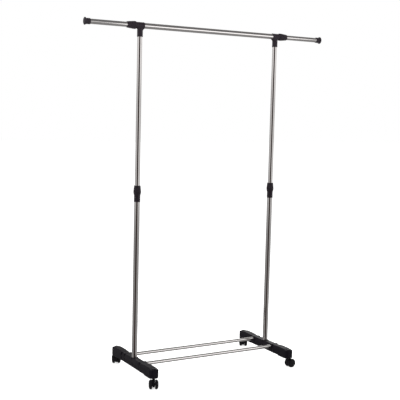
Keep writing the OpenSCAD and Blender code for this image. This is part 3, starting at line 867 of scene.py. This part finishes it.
fork_verts, fork_faces = mesh_surface(fork_distance, (-8.2, -8.2, 5.8), (8.2, 26, 43), 0.6)
wheel_verts, wheel_faces = wheel_mesh()
for end, end_sign in ENDS:
    for side, sign in SIDES:
        corner = f"{side}_{end}"
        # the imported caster's swivel angle, from its wheel's axis
        axle = JOINT[f"{corner}_outer_wheel_spin"]["axis"]
        swivel = math.atan2(axle[1], axle[0])
        cosine, sine = math.cos(swivel), math.sin(swivel)
        turn = np.array([[cosine, sine, 0], [-sine, cosine, 0], [0, 0, 1.0]])
        origin = np.array([sign * POST_X, end_sign * CASTER_Y, 0])
        add_moulding(f"{corner}_caster_fork", (fork_verts @ turn, fork_faces), origin, "caster",
                     f"{corner}_caster", f"{corner}_caster_body")
        for direction, wheel in ((1, "outer"), (-1, "inner")):
            verts = np.stack([wheel_verts[:, 2] * direction, wheel_verts[:, 0],
                              wheel_verts[:, 1]], 1) + np.array([0, TRAIL, AXLE_Z])
            obj = add_object(f"{corner}_{wheel}_roller", verts @ turn + origin, wheel_faces)
            dress(obj, "wheel", f"{corner}_{wheel}_wheel_body", f"{corner}_{wheel}_wheel")

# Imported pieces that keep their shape
for node in ("left_post_plug", "right_post_plug", "left_post_guide", "right_post_guide",
             "left_rail_guide", "right_rail_guide"):
    paint(node, "guide")
for node in ("post_screws", "caster_stems", "left_front_axle", "right_front_axle",
             "left_rear_axle", "right_rear_axle"):
    paint(node, "zinc")


# ---------------------------------------------------------------------------
# Camera (metres)
# ---------------------------------------------------------------------------
scene = bpy.context.scene
scene.view_settings.view_transform = "Standard"
scene.view_settings.look = "None"
scene.view_settings.exposure = 0.0
scene.view_settings.gamma = 1.0

CAMERA_YAW = math.radians(29.896)           # from +Y towards +X
CAMERA_PITCH = math.radians(5.723)          # downwards
CAMERA_ROLL = math.radians(1.431)


def add_camera():
    data = bpy.data.cameras.new("camera")
    data.sensor_width = 36.0
    data.lens = 74.835
    data.clip_start, data.clip_end = 0.05, 60
    sin_yaw, cos_yaw = math.sin(CAMERA_YAW), math.cos(CAMERA_YAW)
    cos_pitch = math.cos(CAMERA_PITCH)
    forward = Vector((sin_yaw * cos_pitch, cos_yaw * cos_pitch, -math.sin(CAMERA_PITCH)))
    level = Vector((cos_yaw, -sin_yaw, 0))
    upright = level.cross(forward)
    right = level * math.cos(CAMERA_ROLL) + upright * math.sin(CAMERA_ROLL)
    up = upright * math.cos(CAMERA_ROLL) - level * math.sin(CAMERA_ROLL)
    pose = Matrix((right, up, -forward)).transposed().to_4x4()
    pose.translation = (-1.9539, -3.3387, 1.1801)
    camera = bpy.data.objects.new("camera", data)
    camera.matrix_world = pose
    scene.collection.objects.link(camera)
    scene.camera = camera


add_camera()


# ---------------------------------------------------------------------------
# Floor
# ---------------------------------------------------------------------------
def floor_material(name):
    """Pale and slightly glowing; mid grey to glossy rays."""
    material = bpy.data.materials.new(name)
    g = Graph(material)
    diffuse = g.add("ShaderNodeBsdfDiffuse", {"Color": (0.93, 0.93, 0.93, 1)}).outputs[0]
    glow = g.shader("ShaderNodeEmission", color=(1, 1, 1, 1), strength=0.62)
    pale = g.add("ShaderNodeAddShader", {0: diffuse, 1: glow}).outputs[0]
    grey = g.shader("ShaderNodeEmission", color=(0.25, 0.25, 0.255, 1), strength=1.0)
    glossy_ray = g.add("ShaderNodeLightPath").outputs["Is Glossy Ray"]
    g.add("ShaderNodeOutputMaterial", {0: g.mix_shader(glossy_ray, pale, grey)})
    return material


def add_floor():
    half, height = 30.0, -0.00002
    mesh = bpy.data.meshes.new("floor")
    mesh.from_pydata([(-half, -half, height), (half, -half, height), (half, half, height),
                      (-half, half, height)], [], [(0, 1, 2, 3)])
    mesh.materials.append(floor_material("pale_floor"))
    floor = bpy.data.objects.new("floor", mesh)
    scene.collection.objects.link(floor)
    floor.visible_glossy = False


add_floor()


# ---------------------------------------------------------------------------
# World: white to the camera; to glossy rays, a room with a dark ceiling and a dark strip
# behind the camera
# ---------------------------------------------------------------------------
def room_brightness(g):
    """Brightness of the reflected room, and a mask that is 0 in the dark strip, 1 elsewhere."""
    def fade(value, over, to=(0.0, 1.0)):
        return g.ramp(value, over, to, smooth=True)

    def around(angle, degrees, to=(0.0, 1.0)):
        return fade(angle, [math.radians(value) for value in degrees], to)

    def blend(a, b, factor):
        """a where factor is 0, b where it is 1"""
        return g.math("ADD", g.math("MULTIPLY", a, g.math("SUBTRACT", 1.0, factor)),
                      g.math("MULTIPLY", b, factor))

    direction = g.add("ShaderNodeTexCoord").outputs["Generated"]
    x, y, z = g.add("ShaderNodeSeparateXYZ", {0: direction}).outputs
    elevation = g.math("ARCSINE", z)
    # bearing from the camera's side of the stand, positive to the camera's right
    camera_bearing = math.atan2(-math.cos(CAMERA_YAW), -math.sin(CAMERA_YAW))
    bearing = g.math("SUBTRACT", g.math("ARCTAN2", y, x), camera_bearing)
    bearing = g.math("ARCTAN2", g.math("SINE", bearing), g.math("COSINE", bearing))
    off_centre = g.math("ABSOLUTE", bearing)
    elevation = g.math("MULTIPLY", elevation, 180 / math.pi)     # degrees
    strip = around(off_centre, (27, 35))

    # walls at eye level, the right-hand one paler
    right_side = around(bearing, (-15, 15))
    left_wall = g.math("SUBTRACT", around(off_centre, (40, 110), to=(0.60, 0.42)),
                       around(off_centre, (118, 145), to=(0.0, 0.20)))
    right_wall = g.math("ADD", around(off_centre, (45, 110), to=(0.74, 0.46)),
                        around(off_centre, (115, 155), to=(0.0, 0.36)))
    walls = g.math("MULTIPLY", blend(left_wall, right_wall, right_side),
                   fade(elevation, over=(0.5, 4.5), to=(1.0, 1.42)))
    # darker patch in the upper part of the right-hand wall
    off_patch = g.math("ABSOLUTE", g.math("SUBTRACT", bearing, math.radians(66)))
    patch = g.math("MULTIPLY", around(off_patch, (22, 34), to=(1.0, 0.0)),
                   fade(elevation, over=(7, 13)))
    walls = blend(walls, 0.18, patch)
    level = blend(0.0, walls, strip)
    # the darker floor, even in tone where it is seen steeply
    below = blend(0.02, around(bearing, (-120, 120), to=(0.25, 0.34)), strip)
    below = blend(below, 0.26, fade(elevation, over=(-28, -18), to=(1.0, 0.0)))
    # dimmer upper walls, then the ceiling
    above = blend(0.04, around(off_centre, (90, 150), to=(0.18, 0.14)), strip)
    room = blend(level, below, fade(elevation, over=(-9, -4), to=(1.0, 0.0)))
    room = blend(room, above, fade(elevation, over=(28, 44)))
    room = blend(room, 0.13, fade(elevation, over=(60, 74)))
    return room, strip


def build_world():
    world = bpy.data.worlds.new("studio")
    scene.world = world
    g = Graph(world)
    room, strip = room_brightness(g)
    rays = g.add("ShaderNodeLightPath").outputs
    white = (1, 1, 1, 1)
    # the strip is faintly warm, and so is the room
    strip_tint = g.mix(strip, (0.022, 0.011, 0.008, 1), (0, 0, 0, 1))
    channels = {i: g.math("MULTIPLY", room, gain) for i, gain in enumerate((1.0, 0.995, 0.99))}
    room_color = g.add("ShaderNodeCombineColor", channels).outputs[0]
    room_color = g.mix(1.0, strip_tint, room_color, blend="ADD")
    to_camera = g.shader("ShaderNodeBackground", color=white, strength=1.0)
    to_glossy = g.shader("ShaderNodeBackground", color=room_color, strength=1.0)
    to_others = g.shader("ShaderNodeBackground", color=white, strength=0.55)
    surface = g.mix_shader(rays["Is Glossy Ray"], to_others, to_glossy)
    surface = g.mix_shader(rays["Is Camera Ray"], surface, to_camera)
    g.add("ShaderNodeOutputWorld", {0: surface})


build_world()


# ---------------------------------------------------------------------------
# Lights (metres and watts)
# ---------------------------------------------------------------------------
def add_softbox(name, location, target, size, power, glossy=False):
    data = bpy.data.lights.new(name, "AREA")
    data.shape = "RECTANGLE"
    data.size, data.size_y = size
    data.energy = power
    light = bpy.data.objects.new(name, data)
    light.location = location
    light.rotation_mode = "QUATERNION"
    light.rotation_quaternion = (Vector(target) - Vector(location)).to_track_quat("-Z", "Y")
    light.visible_glossy = glossy
    scene.collection.objects.link(light)
    return light


def add_line_panel(label, tubes, location, size, power):
    """A panel that lights only the named tubes, and shows in them as a bright line."""
    x, y, z = location
    panel = add_softbox(f"{label}_line_panel", location, (x - 1.5, y + 2.6, z), size, power,
                        glossy=True)
    lit = bpy.data.collections.new(f"{label}_tubes")
    for tube in tubes:
        lit.objects.link(bpy.data.objects[tube])
    panel.light_linking.receiver_collection = lit


add_softbox("key_softbox", location=(-2.6, -2.2, 3.2), target=(0, 0, 0.7),
            size=(1.8, 1.8), power=85)
add_softbox("fill_softbox", location=(2.8, -2.4, 2.2), target=(0, 0, 0.7),
            size=(1.6, 1.6), power=35)
add_softbox("top_softbox", location=(0.0, 0.6, 3.6), target=(0, 0, 0.2),
            size=(2.6, 1.6), power=40)
# both panels stand to the right of the camera
add_line_panel("rail", ("middle_rail_tube", "left_extension_tube", "right_extension_tube"),
               location=(1.557, -2.598, 1.10), size=(1.56, 1.9), power=7.6)
add_line_panel("bar", ("front_bottom_bar_tube", "rear_bottom_bar_tube"),
               location=(1.52, -2.62, 1.35), size=(2.1, 2.5), power=15.5)
